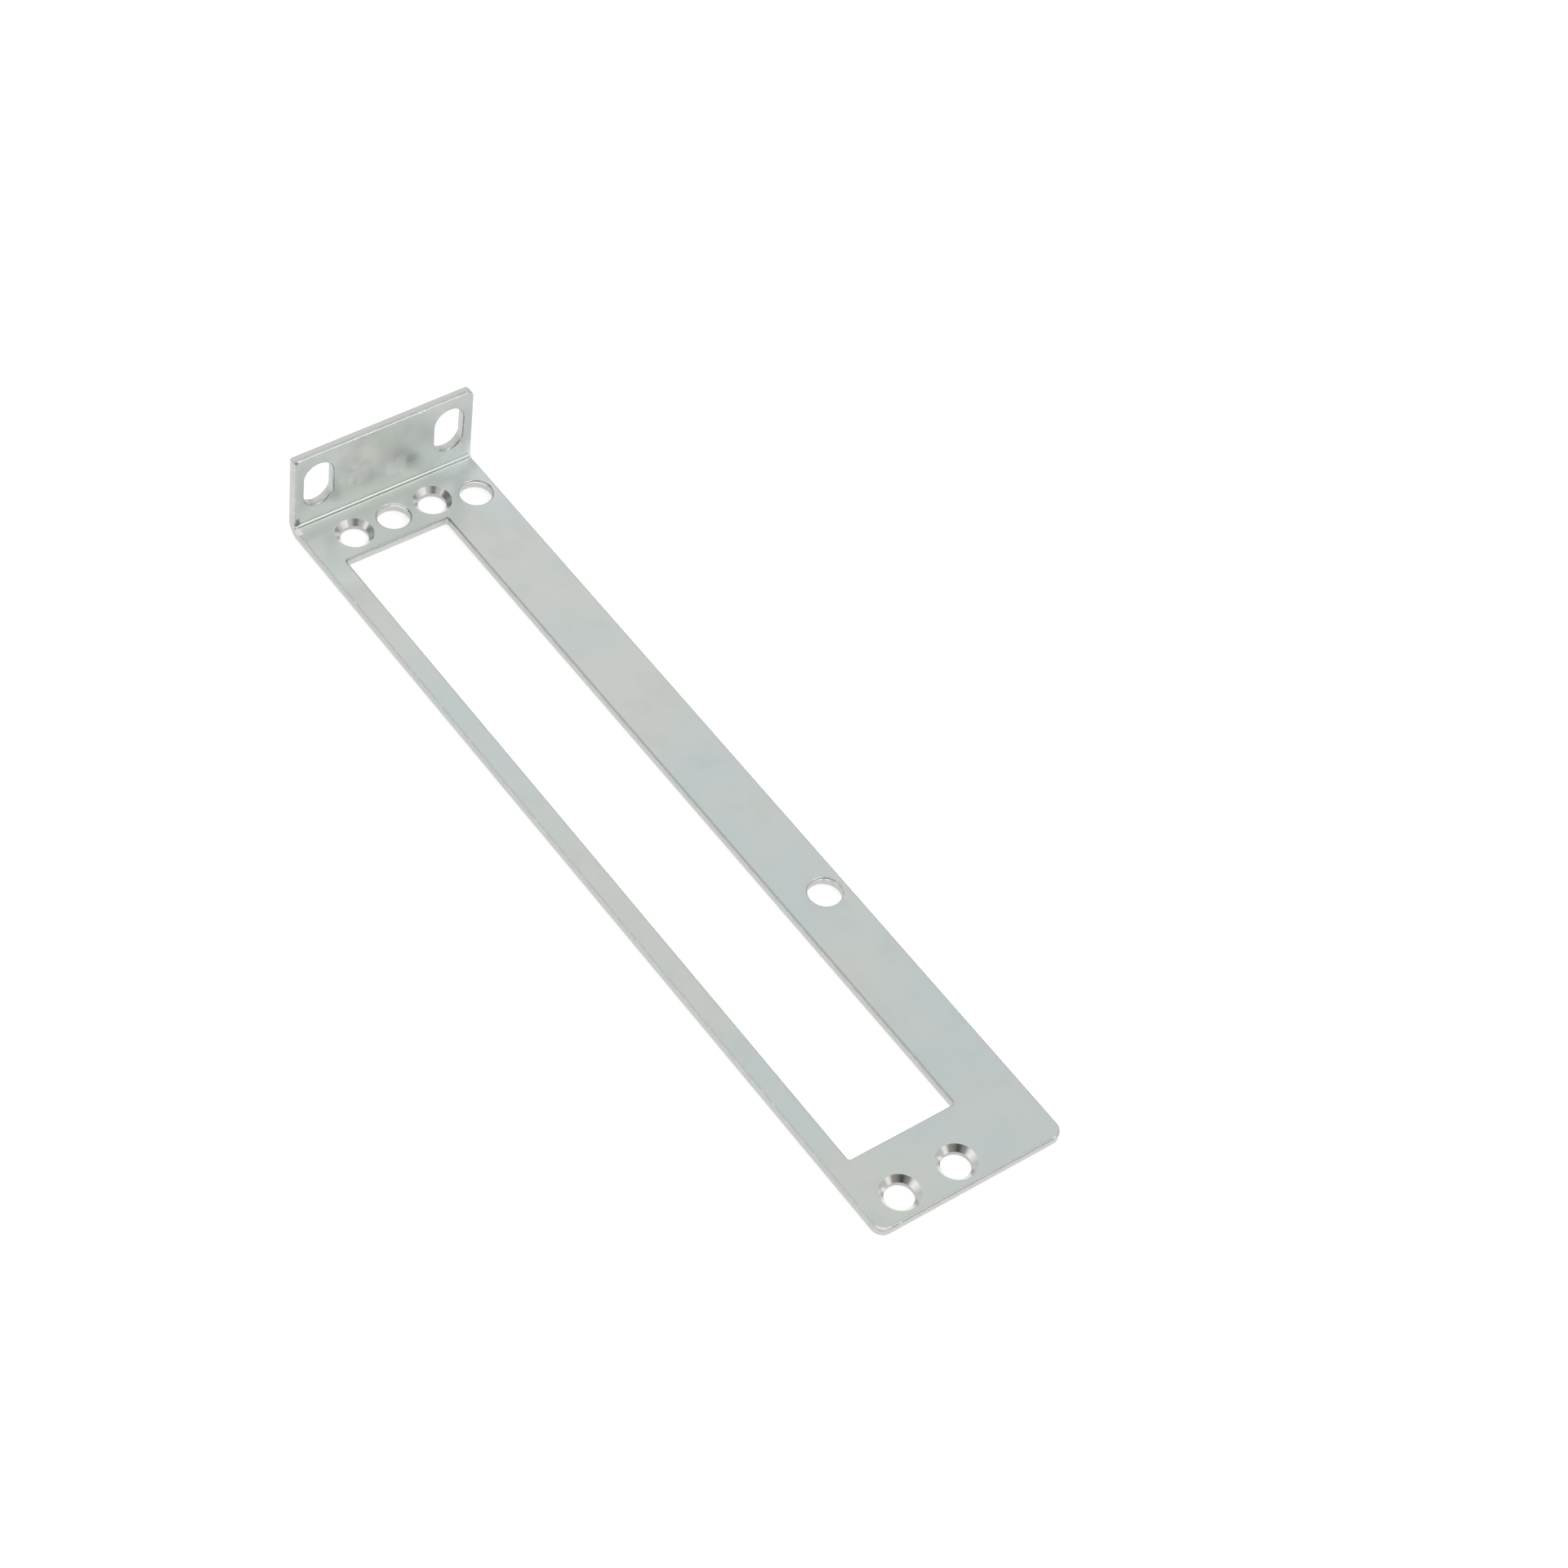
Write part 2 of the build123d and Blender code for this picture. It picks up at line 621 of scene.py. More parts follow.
    def pale_band(self, shader: Shader, place: Signal) -> Signal:
        """How much paler the plate is, in a band across it beside the tab where the nearest holes lie.

        Args:
            shader: the finish's shader.
            place: the place on the piece.

        Returns:
            The share.
        """
        x = shader.part(place, "X")
        starts = shader.remap(x, *self.pale_band_starts, 0, self.pale_band_share)
        return starts * shader.remap(x, *self.pale_band_ends, 1, 0)

    def inside(self, shader: Shader, place: Signal) -> Signal:
        """1 on the inner side of the bend, and 0 on the outer one, by the sum of X and Z."""
        return shader.remap(shader.part(place, "X") + shader.part(place, "Z"), *self.inner_side, 0, 1)


@dataclass(frozen=True)
class ShadedRim:
    """A straight stretch of rim with painted shade, a dark line along it: the axis it crosses, its place
    there and its ends.
    """

    axis: str
    place: float
    start: float
    end: float
    strength: float
    inner: float = 0.4 * MM
    outer: float = 0.9 * MM
    fade: float = 0.5 * MM

    def share(self, shader: Shader, x: Signal, y: Signal) -> Signal:
        """The strength on the stretch, fading to 0 beside it and past its ends.

        Args:
            shader: the finish's shader.
            x: the place's X.
            y: the place's Y.

        Returns:
            The share.
        """
        across, along = (x, y) if self.axis == "X" else (y, x)
        middle, half = (self.start + self.end) / 2, (self.end - self.start) / 2
        near = shader.remap(abs(across - self.place), self.inner, self.outer, self.strength, 0)
        return near * shader.remap(abs(along - middle), half, half + self.fade, 1, 0)


@dataclass(frozen=True)
class RolledEdgeZinc:
    """Zinc on the corner that the punch rolled over: a little duller than the face, and smooth."""

    colour: Colour = (0.520, 0.550, 0.530)
    bare: Colour = (0.640, 0.660, 0.640)
    # Painted shade: a dark line along the stretches of rim listed below.
    rim_shade: Colour = (0.300, 0.315, 0.300)
    shaded_rims: tuple[ShadedRim, ...] = (
        ShadedRim("X", -88.75 * MM, -17.4 * MM, 8.2 * MM, 0.75),
        ShadedRim("X", 103.65 * MM, -18.8 * MM, 18.8 * MM, 0.58),
        ShadedRim("Y", 7.95 * MM, -88.5 * MM, 87.0 * MM, 0.42),
    )
    roughness: float = 0.26
    fleck_size: float = 0.9 * MM
    fleck_range: Span = (0.52, 0.66)
    fleck_height: float = 0.02 * MM

    def build(self) -> bpy.types.Material:
        """The finish of the rolled corners.

        Returns:
            The material.
        """
        material, shader = new_material("bright_zinc_rolled_edge")
        place = shader.object_place()
        flecks = shader.noise(place, self.fleck_size, 3.0)
        colour = shader.blend(shader.remap(flecks, *self.fleck_range, 0, 1), self.colour, self.bare)
        x, y = shader.part(place, "X"), shader.part(place, "Y")
        for rim in self.shaded_rims:
            colour = shader.blend(rim.share(shader, x, y), colour, self.rim_shade)
        rough = self.roughness
        for marks in (PAINTED_CORNER_GLINTS, PAINTED_BULGE_HIGHLIGHT, PAINTED_HOLE_GLINT, DARK_SPOTS):
            colour, rough = marks.mark(shader, place, colour, rough)
        # Painted highlights turn the rolled corner matt white where they lie.
        painted_white = PAINTED_CORNER_GLINTS.share(shader, place) + PAINTED_BULGE_HIGHLIGHT.share(shader, place)
        bare = 1.0 - (painted_white + PAINTED_HOLE_GLINT.share(shader, place))
        shader.metal(colour, rough, shader.bump(flecks, self.fleck_height, 0.3), bare)
        return material


@dataclass(frozen=True)
class ShearedZinc:
    """Zinc on the smooth upper band of a punched edge, with fine draw marks.

    Its top has paler burnished patches, and painted highlights in white dashes just under the rolled
    corner.
    """

    colour: Colour = (0.515, 0.524, 0.502)
    burnish_and_glint: Colour = (0.960, 0.965, 0.955)
    roughness: float = 0.34
    draw_width: float = 0.12 * MM
    draw_length: float = 12
    draw_height: float = 0.01 * MM
    draw_roughness: float = 0.12
    patch_size: float = 2.6 * MM
    patch_range: Span = (0.47, 0.55)
    patch_share: float = 0.25
    break_size: float = 1.3 * MM
    break_range: Span = (0.40, 0.48)
    dash_top: float = 0.55 * MM
    dash_depth: float = 0.34 * MM

    def build(self) -> bpy.types.Material:
        """The finish of a cut edge's burnished band.

        Returns:
            The material.
        """
        material, shader = new_material("bright_zinc_sheared_edge")
        sheet = shader.sheet_place()
        drawn = shader.noise(sheet, self.draw_width, 2.0, (1, self.draw_length, 1))
        place = shader.object_place()
        patches = shader.remap(shader.noise(place, self.patch_size, 2.0), *self.patch_range, 0, 1)
        end = self.dash_top + self.dash_depth
        top = shader.remap(shader.part(sheet, "Y"), end - 0.5 * self.dash_depth, end, 1, 0)
        breaks = shader.remap(shader.noise(place, self.break_size, 1.0), *self.break_range, 0, 1)
        # Painted highlight: white dashes along the top of the wall at the painted rim glints, and the
        # painted hole glint.
        dashes = PAINTED_RIM_GLINTS.share(shader, place) * breaks
        glint = shader.math("MAXIMUM", dashes, PAINTED_HOLE_GLINT.share(shader, place)) * top
        colour = shader.blend(self.patch_share * patches * top + glint, self.colour, self.burnish_and_glint)
        rough = self.roughness + self.draw_roughness * (drawn - 0.5)
        for marks in (PAINTED_CORNER_GLINTS, PAINTED_BULGE_HIGHLIGHT):
            colour, rough = marks.mark(shader, place, colour, rough)
        # Painted highlights turn the band matt white where they lie.
        bare = 1.0 - (PAINTED_CORNER_GLINTS.share(shader, place) + PAINTED_BULGE_HIGHLIGHT.share(shader, place))
        shader.metal(colour, rough, shader.bump(drawn, self.draw_height, 0.5), bare)
        return material


@dataclass(frozen=True)
class TornZinc:
    """Zinc on the lower band of a punched edge, where the metal tore: matt and grainy."""

    light: Colour = (0.665, 0.670, 0.642)
    dark: Colour = (0.615, 0.622, 0.595)
    roughness: float = 0.48
    grain_size: float = 0.16 * MM
    grain_length: float = 3
    grain_range: Span = (0.35, 0.65)
    grain_height: float = 0.03 * MM

    def build(self) -> bpy.types.Material:
        """The finish of a cut edge's torn band.

        Returns:
            The material.
        """
        material, shader = new_material("bright_zinc_torn_edge")
        sheet = shader.sheet_place()
        grain = shader.noise(sheet, self.grain_size, 3.0, (1, self.grain_length, 1))
        colour = shader.blend(shader.remap(grain, *self.grain_range, 0, 1), self.dark, self.light)
        shader.metal(colour, self.roughness, shader.bump(grain, self.grain_height, 0.6))
        return material


@dataclass(frozen=True)
class TurnedZinc:
    """Zinc on a countersink's cone, with the rings that the cutter left and painted shade on one side."""

    colour: Colour = (0.76, 0.765, 0.745)
    cone_shade: Colour = (0.38, 0.387, 0.373)
    cone_shade_run: float = 11.54 * MM
    cone_shade_reach: float = 1.1 * MM
    roughness: float = 0.20
    ring_pitch: float = 0.09 * MM
    ring_length: float = 60
    ring_height: float = 0.006 * MM
    ring_roughness: float = 0.14

    def build(self) -> bpy.types.Material:
        """The finish of the countersinks.

        Returns:
            The material.
        """
        material, shader = new_material("bright_zinc_turned_cone")
        sheet = shader.sheet_place()
        rings = shader.noise(sheet, self.ring_pitch, 1.0, (self.ring_length, 1, 1))
        rough = self.roughness + self.ring_roughness * (rings - 0.5)
        # Painted shade: the cone darkens round one place along its cut.
        apart = abs(shader.part(sheet, "X") - self.cone_shade_run)
        colour = shader.blend(shader.remap(apart, 0, self.cone_shade_reach, 1, 0), self.colour, self.cone_shade)
        shader.metal(colour, rough, shader.bump(rings, self.ring_height, 0.5))
        return material


@dataclass(frozen=True)
class Fold:
    """Carries the flat blank to the folded sheet.

    The run s goes down the tab from its top, round the bend and along the plate to its free end.
    """

    tab_face: float
    front: float
    height: float
    thickness: float
    inner_radius: float = 0.8 * MM
    waist: float = 0.10 * MM
    waist_start: float = 0.94

    @property
    def tab_run(self) -> float:
        """Length of the tab's flat inner face."""
        return self.height - self.thickness - self.inner_radius

    @property
    def bend_run(self) -> float:
        """Length of the inner face round the bend."""
        return self.inner_radius * math.pi / 2

    @property
    def bend_x(self) -> float:
        """X of the bend's axis."""
        return self.tab_face + self.thickness + self.inner_radius

    @property
    def run(self) -> float:
        """Length of the whole inner face."""
        return self.tab_run + self.bend_run + self.front - self.bend_x

    def run_at_x(self, x: float) -> float:
        """The run at a place on the plate."""
        return self.tab_run + self.bend_run + x - self.bend_x

    def run_at_z(self, z: float) -> float:
        """The run at a height on the tab."""
        return self.height - z

    def place(self, flat: np.ndarray, depth: np.ndarray) -> np.ndarray:
        """Folds points of the blank.

        The turn is the run past the tab over the inner radius, held between 0 and a right angle. A point
        lies at the bend's axis, less the radius plus depth along the turned direction, plus what is left
        of the run on the plate along X, or on the tab along Z. The outer side of the bend draws in by a
        waist that grows with depth.

        Args:
            flat: run and y of each point.
            depth: depth of each point below the inner face.

        Returns:
            X, Y and Z of each point.
        """
        s, y = flat[:, 0], flat[:, 1]
        turn = np.clip((s - self.tab_run) / self.inner_radius, 0, math.pi / 2)
        reach = self.inner_radius + depth
        along = np.maximum(s - self.tab_run - self.bend_run, 0)
        above = np.maximum(self.tab_run - s, 0)
        x = self.bend_x - reach * np.cos(turn) + along
        z = self.thickness + self.inner_radius - reach * np.sin(turn) + above
        side = np.clip((np.abs(y) / np.abs(y).max() - self.waist_start) / (1 - self.waist_start), 0, 1)
        drawn = self.waist * np.sin(2 * turn) * (depth / self.thickness) * side**2
        return np.stack([x, y - np.sign(y) * drawn, z], axis=1)

    def direct(self, flat: np.ndarray, normal: np.ndarray) -> np.ndarray:
        """Folds directions of the blank.

        A direction along the run turns from down the tab to along +X, and one off the inner face
        turns from +X to up, as the sine and cosine of the turn there.

        Args:
            flat: run and y where each direction stands.
            normal: each direction along the run, along y and off the inner face.

        Returns:
            X, Y and Z of each direction.
        """
        turn = np.clip((flat[..., 0] - self.tab_run) / self.inner_radius, 0, math.pi / 2)
        along, across, off = normal[..., 0], normal[..., 1], normal[..., 2]
        return np.stack(
            [along * np.sin(turn) + off * np.cos(turn), across, off * np.sin(turn) - along * np.cos(turn)],
            axis=-1,
        )


@dataclass(frozen=True)
class EdgeProfile:
    """The section of a cut edge, from the inner face through the sheet.

    Each point has a set back into the metal and a depth. Each band between two points has a finish, and
    the tilt of its surface at its two ends, from 0 for the inner face to a right angle for a straight cut.
    """

    set_back: np.ndarray
    depth: np.ndarray
    tilt: np.ndarray
    finishes: tuple[Finish, ...]

    @staticmethod
    def flat_tilt(set_back: np.ndarray, depth: np.ndarray) -> np.ndarray:
        """The tilt of straight bands: the angle whose sine and cosine are their fall and their reach."""
        tilt = np.arctan2(np.diff(depth), -np.diff(set_back))
        return np.stack([tilt, tilt], axis=1)

    @staticmethod
    def punched(thickness: float, rolled: float, smooth_to: float, tear: float) -> "EdgeProfile":
        """A punched edge: rolled over at the inner face, then a smooth band, then a torn one.

        The rolled corner is a quarter circle: set back r (1 - sin t), depth r (1 - cos t).

        Args:
            thickness: the sheet's thickness.
            rolled: radius of the rolled corner.
            smooth_to: depth at which the smooth band ends.
            tear: set back of the torn band at the outer face.

        Returns:
            The profile.
        """
        t = np.linspace(0, math.pi / 2, CORNER_STEPS + 1)
        corner_back = rolled * (1 - np.sin(t))
        corner_depth = rolled * (1 - np.cos(t))
        lower_back = tear * np.array(TEAR_SHARES)
        lower_depth = np.array([smooth_to, smooth_to + TEAR_START, thickness - FOOT, thickness])
        below_back = np.concatenate([corner_back[-1:], lower_back])
        below_depth = np.concatenate([corner_depth[-1:], lower_depth])
        corner_tilt = np.stack([t[:-1], t[1:]], axis=1)
        torn = (Finish.TORN,) * (len(TEAR_SHARES) - 1)
        finishes = (Finish.ROLLED,) * CORNER_STEPS + (Finish.SHEARED,) + torn
        return EdgeProfile(
            np.concatenate([corner_back, lower_back]),
            np.concatenate([corner_depth, lower_depth]),
            np.concatenate([corner_tilt, EdgeProfile.flat_tilt(below_back, below_depth)]),
            finishes,
        )

    @staticmethod
    def countersunk(thickness: float, set_back: float, sink: float) -> "EdgeProfile":
        """A countersunk edge: a straight cone down to the bore, then the bore's wall.

        Args:
            thickness: the sheet's thickness.
            set_back: the cone's radius at the face, less the bore's.
            sink: the cone's depth.

        Returns:
            The profile.
        """
        share = np.linspace(0, 1, CONE_STEPS + 1)
        back = np.concatenate([set_back * (1 - share), [0.0, FOOT_BACK]])
        depth = np.concatenate([sink * share, [thickness - FOOT, thickness]])
        finishes = (Finish.TURNED,) * CONE_STEPS + (Finish.SHEARED,) * 2
        return EdgeProfile(back, depth, EdgeProfile.flat_tilt(back, depth), finishes)


@dataclass(frozen=True)
class CutLine:
    """A closed cut through the blank: its points, and the way into the metal from each."""

    points: np.ndarray
    inward: np.ndarray
    profile: EdgeProfile
    outline: bool = False

    def rings(self) -> tuple[np.ndarray, np.ndarray]:
        """The edge's wall as a grid: each point of the profile times each point of the cut.

        A ring's points are the cut's, moved into the metal by the profile's set back.

        Returns:
            Run and y of each point, and its depth.
        """
        flat = self.points[None] + self.profile.set_back[:, None, None] * self.inward[None]
        depth = np.repeat(self.profile.depth, len(self.points))
        return flat.reshape(-1, 2), depth

    def cells(self) -> tuple[np.ndarray, np.ndarray]:
        """The band of the profile and the step of the cut that each face of the wall lies in."""
        count = len(self.points)
        return np.divmod(np.arange(len(self.profile.finishes) * count), count)

    def corners(self) -> tuple[tuple[int, int], ...]:
        """A face's corners in the order in which it looks out of the metal."""
        return FACE_CORNERS[:1] + FACE_CORNERS[:0:-1] if self.outline else FACE_CORNERS

    def quads(self) -> np.ndarray:
        """Joins the wall's grid into faces that look out of the metal.

        Returns:
            The four corners of each face.
        """
        row, column = self.cells()
        count = len(self.points)
        corners = [(row + down) * count + (column + along) % count for along, down in self.corners()]
        return np.stack(corners, axis=1)

    def wall_map(self) -> np.ndarray:
        """Unrolls the wall: length along the cut, and length down the profile.

        Returns:
            Both lengths at each corner of each face of the wall.
        """
        step = np.linalg.norm(np.roll(self.points, -1, axis=0) - self.points, axis=1)
        start = np.concatenate([[0.0], np.cumsum(step)[:-1]])
        slope = np.hypot(np.diff(self.profile.set_back), np.diff(self.profile.depth))
        fall = np.concatenate([[0.0], np.cumsum(slope)])
        row, column = self.cells()
        corners = [
            np.stack([start[column] + along * step[column], fall[row + down]], axis=1)
            for along, down in self.corners()
        ]
        return np.stack(corners, axis=1)

    def wall_normals(self) -> tuple[np.ndarray, np.ndarray]:
        """The way in which the wall's surface looks at each corner of each of its faces.

        The direction is the sine of the band's tilt out of the cut, and its cosine off the inner face.

        Returns:
            The corners' places on the blank, and the directions there.
        """
        row, column = self.cells()
        places, ways = [], []
        for along, down in self.corners():
            at = (column + along) % len(self.points)
            tilt = self.profile.tilt[row, down]
            places.append(self.points[at])
            ways.append(np.column_stack([-self.inward[at] * np.sin(tilt)[:, None], np.cos(tilt)]))
        return np.stack(places, axis=1), np.stack(ways, axis=1)

    def finishes(self) -> np.ndarray:
        """The finish of each face of the wall."""
        return np.repeat([f.value for f in self.profile.finishes], len(self.points))


def rounded_cut(
    low: Sequence[float],
    high: Sequence[float],
    radii: Sequence[float],
    arc_steps: int,
    stops: Sequence[float] = (),
) -> tuple[np.ndarray, np.ndarray]:
    """A rectangle with round corners, counter-clockwise, with extra stops along its two sides in the run.

    A corner's points are its centre plus its radius times the cosine and sine of an angle, and the
    outward way there is that cosine and sine.

    Args:
        low: lowest run and y.
        high: highest run and y.
        radii: corner radii, from the corner at high run and high y, counter-clockwise.
        arc_steps: steps in each corner.
        stops: runs at which the two sides have a point.

    Returns:
        The points and the outward way at each.
    """
    signs = ((1, 1), (-1, 1), (-1, -1), (1, -1))
    points, outward = [], []
    for quarter, ((run_sign, y_sign), radius) in enumerate(zip(signs, radii)):
        corner = np.array([high[0] if run_sign > 0 else low[0], high[1] if y_sign > 0 else low[1]])
        centre = corner - radius * np.array([run_sign, y_sign])
        angle = math.pi / 2 * (quarter + np.linspace(0, 1, arc_steps + 1))
        way = np.stack([np.cos(angle), np.sin(angle)], axis=1)
        points.append(centre + radius * way)
        outward.append(way)
        if quarter in (0, 2) and len(stops):
            run = np.sort(np.array(stops))[:: -1 if quarter == 0 else 1]
            points.append(np.stack([run, np.full(len(run), corner[1])], axis=1))
            outward.append(np.tile([0.0, float(y_sign)], (len(run), 1)))
    joined, ways = np.concatenate(points), np.concatenate(outward)
    apart = np.linalg.norm(joined - np.roll(joined, 1, axis=0), axis=1) > SAME_PLACE
    return joined[apart], ways[apart]


@dataclass
class EarSheet:
    """The folded sheet, with its window, slots, plain holes and countersinks.

    The outline comes from the CAD box and the hole centres from the part's mounts.
    """

    UV_NAME = "blank"
    NODE = "rack_ear"

    thickness: float = 2.0 * MM
    front_corner: float = 2.5 * MM
    narrow_tab_corner: float = 0.5 * MM
    wide_tab_corner: float = 1.5 * MM
    window_corner: float = 0.6 * MM
    narrow_strip: float = 4.8 * MM
    wide_strip: float = 14.0 * MM
    front_strip: float = 16.3 * MM
    tab_end_strip: float = 14.8 * MM
    sink_radius: float = 4.125 * MM
    rolled: float = 0.35 * MM
    smooth_to: float = 0.85 * MM
    tear: float = 0.06 * MM
    bend_steps: int = 12
    bend_columns: int = 14
    corner_steps: int = 8
    window_steps: int = 6
    slot_steps: int = 12
    round_steps: int = 16
    side_spacing: float = 3.0 * MM
    fold: Fold = field(init=False)

    def __post_init__(self) -> None:
        """Takes the folded outline from the CAD box."""
        low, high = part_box(self.NODE)
        self.low, self.high = low, high
        self.fold = Fold(low.x, high.x, high.z, self.thickness)

    def mount_centres(self, name: str) -> tuple[np.ndarray, float, float]:
        """The holes of one of the part's bolt patterns.

        Args:
            name: the mount's name.

        Returns:
            The holes' centres in the row frame, their radius, and a slot's length or 0.
        """
        mount = next(m for m in frame["record"]["mounts"] if m["name"] == name)
        dims = mount["dims"]
        along = np.array([dims.get("spacing_x_mm", 0), dims.get("spacing_y_mm", 0), 0]) / 2 * MM
        count = dims["count"]
        shifts = np.linspace(-1, 1, count)[:, None] if count > 1 else np.zeros((1, 1))
        centres = np.array(mount["pos_m"]) + shifts * along
        return centres, dims["hole_r_mm"] * MM, dims.get("slot_length_mm", 0) * MM

    def bend_stops(self) -> np.ndarray:
        """Runs of the rows of points that carry the bend."""
        return self.fold.tab_run + np.linspace(0, self.fold.bend_run, self.bend_steps + 1)

    def outline(self, punched: EdgeProfile) -> CutLine:
        """The blank's outer cut.

        Args:
            punched: the section of its edge.

        Returns:
            The cut.
        """
        fold, step = self.fold, self.side_spacing
        plate = np.arange(fold.run_at_x(fold.bend_x) + step, fold.run - 2 * self.front_corner, step)
        tab = np.arange(2 * self.wide_tab_corner, fold.tab_run - step / 2, step)
        points, outward = rounded_cut(
            (0.0, self.low.y),
            (self.fold.run, self.high.y),
            (self.front_corner, self.wide_tab_corner, self.narrow_tab_corner, self.front_corner),
            self.corner_steps,
            np.concatenate([tab, self.bend_stops(), plate]),
        )
        return CutLine(points, -outward, punched, outline=True)

    def window(self, punched: EdgeProfile) -> CutLine:
        """The long window between the strips.

        Args:
            punched: the section of its edge.

        Returns:
            The cut.
        """
        low = (self.fold.run_at_x(self.low.x + self.tab_end_strip), self.low.y + self.narrow_strip)
        high = (self.fold.run_at_x(self.high.x - self.front_strip), self.high.y - self.wide_strip)
        stops = np.arange(low[0] + self.side_spacing, high[0] - self.side_spacing / 2, self.side_spacing)
        points, outward = rounded_cut(low, high, (self.window_corner,) * 4, self.window_steps, stops)
        return CutLine(points, outward, punched)

    def plate_holes(self, punched: EdgeProfile) -> list[CutLine]:
        """The plain holes and the countersunk ones.

        Args:
            punched: the section of a plain hole's edge.

        Returns:
            The cuts.
        """
        cuts = []
        for name in ("tab_pair_middle_hole", "strip_holes", "tab_pair_screws", "front_pair_screws"):
            centres, radius, _ = self.mount_centres(name)
            set_back = self.sink_radius - radius
            sunk = EdgeProfile.countersunk(self.thickness, set_back, set_back)
            profile = sunk if name.endswith("screws") else punched
            for centre in centres:
                middle = np.array([self.fold.run_at_x(centre[0]), centre[1]])
                low, high = middle - radius, middle + radius
                points, outward = rounded_cut(low, high, (radius,) * 4, self.round_steps)
                cuts.append(CutLine(points, outward, profile))
        return cuts

    def tab_slots(self, punched: EdgeProfile) -> list[CutLine]:
        """The two upright slots in the tab.

        Args:
            punched: the section of their edges.

        Returns:
            The cuts.
        """
        cuts = []
        for name in ("narrow_side_slot", "wide_side_slot"):
            centres, radius, slot_length = self.mount_centres(name)
            middle = np.array([self.fold.run_at_z(centres[0][2]), centres[0][1]])
            half = np.array([slot_length / 2, radius])
            low, high = middle - half, middle + half
            points, outward = rounded_cut(low, high, (radius,) * 4, self.slot_steps)
            cuts.append(CutLine(points, outward, punched))
        return cuts

    def bend_rows(self) -> tuple[np.ndarray, int]:
        """Points across the bend, inside the outline, as rows of equal run.

        Returns:
            Run and y of each point, and the points in a row.
        """
        across = np.linspace(self.low.y, self.high.y, self.bend_columns + 2)[1:-1]
        run, y = np.meshgrid(self.bend_stops(), across, indexing="ij")
        return np.stack([run.ravel(), y.ravel()], axis=1), len(across)

    def face_triangles(self, cuts: Sequence[CutLine], ring: int) -> tuple[np.ndarray, np.ndarray]:
        """Triangles of the inner or the outer face, between the cuts' rims.

        A constrained Delaunay triangulation joins the rims and the bend's rows. A triangle whose three
        corners lie on one hole's rim fills that hole, and is left out.

        Args:
            cuts: the outline first, then every other cut.
            ring: 0 for the inner face, or -1 for the outer one.

        Returns:
            Run and y of every point, and the triangles' corners, in the order of rims then rows.
        """
        rims = [cut.points + cut.profile.set_back[ring] * cut.inward for cut in cuts]
        rows, per_row = self.bend_rows()
        flat = np.concatenate([*rims, rows])
        counts = [len(rim) for rim in rims]
        starts = np.concatenate([[0], np.cumsum(counts)])
        edges = [
            np.stack([start + np.arange(n), start + (np.arange(n) + 1) % n], axis=1)
            for start, n in zip(starts, counts)
        ]
        first = starts[-1] + np.arange(len(rows)).reshape(-1, per_row)
        edges.append(np.stack([first[:, :-1].ravel(), first[:, 1:].ravel()], axis=1))
        result = delaunay_2d_cdt(
            (flat / MM).tolist(), np.concatenate(edges).tolist(), [], INSIDE_THE_OUTLINE, SAME_CORNER
        )
        source = np.array([given[0] for given in result[3]])
        triangles = source[np.array(result[2])]
        owner = np.repeat(np.arange(len(rims) + 1), [*counts, len(rows)])
        corners = owner[triangles]
        first_rim = corners[:, 0]
        in_hole = (corners == corners[:, :1]).all(axis=1) & (first_rim > 0) & (first_rim < len(rims))
        return flat, triangles[~in_hole]

    def build(self) -> bpy.types.Object:
        """Makes the sheet's mesh: each cut's wall, then the inner and the outer face.

        Returns:
            The finished piece.
        """
        punched = EdgeProfile.punched(self.thickness, self.rolled, self.smooth_to, self.tear)
        holes = [*self.plate_holes(punched), *self.tab_slots(punched)]
        cuts = [self.outline(punched), self.window(punched), *holes]
        vertices, quads, quad_maps, quad_finishes, wall_starts, normals = [], [], [], [], [], []
        total = 0
        for cut in cuts:
            flat, depth = cut.rings()
            vertices.append(self.fold.place(flat, depth))
            quads.append(cut.quads() + total)
            quad_maps.append(cut.wall_map())
            quad_finishes.append(cut.finishes())
            normals.append(self.fold.direct(*cut.wall_normals()).reshape(-1, 3))
            wall_starts.append(total)
            total += len(flat)
        triangles, triangle_maps = [], []
        rows, _ = self.bend_rows()
        for ring, depth in ((0, 0.0), (-1, self.thickness)):
            flat, corners = self.face_triangles(cuts, ring)
            levels = [0 if ring == 0 else len(cut.profile.depth) - 1 for cut in cuts]
            rim_index = [
                start + len(cut.points) * level + np.arange(len(cut.points))
                for start, level, cut in zip(wall_starts, levels, cuts)
            ]
            index = np.concatenate([*rim_index, total + np.arange(len(rows))])
            vertices.append(self.fold.place(rows, np.full(len(rows), depth)))
            total += len(rows)
            turned = corners if ring == 0 else corners[:, ::-1]
            triangles.append(index[turned])
            triangle_maps.append(flat[turned])
            facing = np.array([0.0, 0.0, 1.0 if ring == 0 else -1.0])
            ways = np.broadcast_to(facing, (*turned.shape, 3))
            normals.append(self.fold.direct(flat[turned], ways).reshape(-1, 3))
        mesh = bpy.data.meshes.new("rack_ear_sheet")
        mesh.from_pydata(
            np.concatenate(vertices).tolist(),
            [],
            np.concatenate(quads).tolist() + np.concatenate(triangles).tolist(),
        )
        maps = np.concatenate([m.reshape(-1, 2) for m in (*quad_maps, *triangle_maps)])
        mesh.uv_layers.new(name=self.UV_NAME).uv.foreach_set("vector", maps.ravel())
        face_count = sum(len(t) for t in triangles)
        finishes = np.concatenate([*quad_finishes, np.full(face_count, Finish.FACE.value)])
        mesh.polygons.foreach_set("material_index", finishes.astype(np.int32))
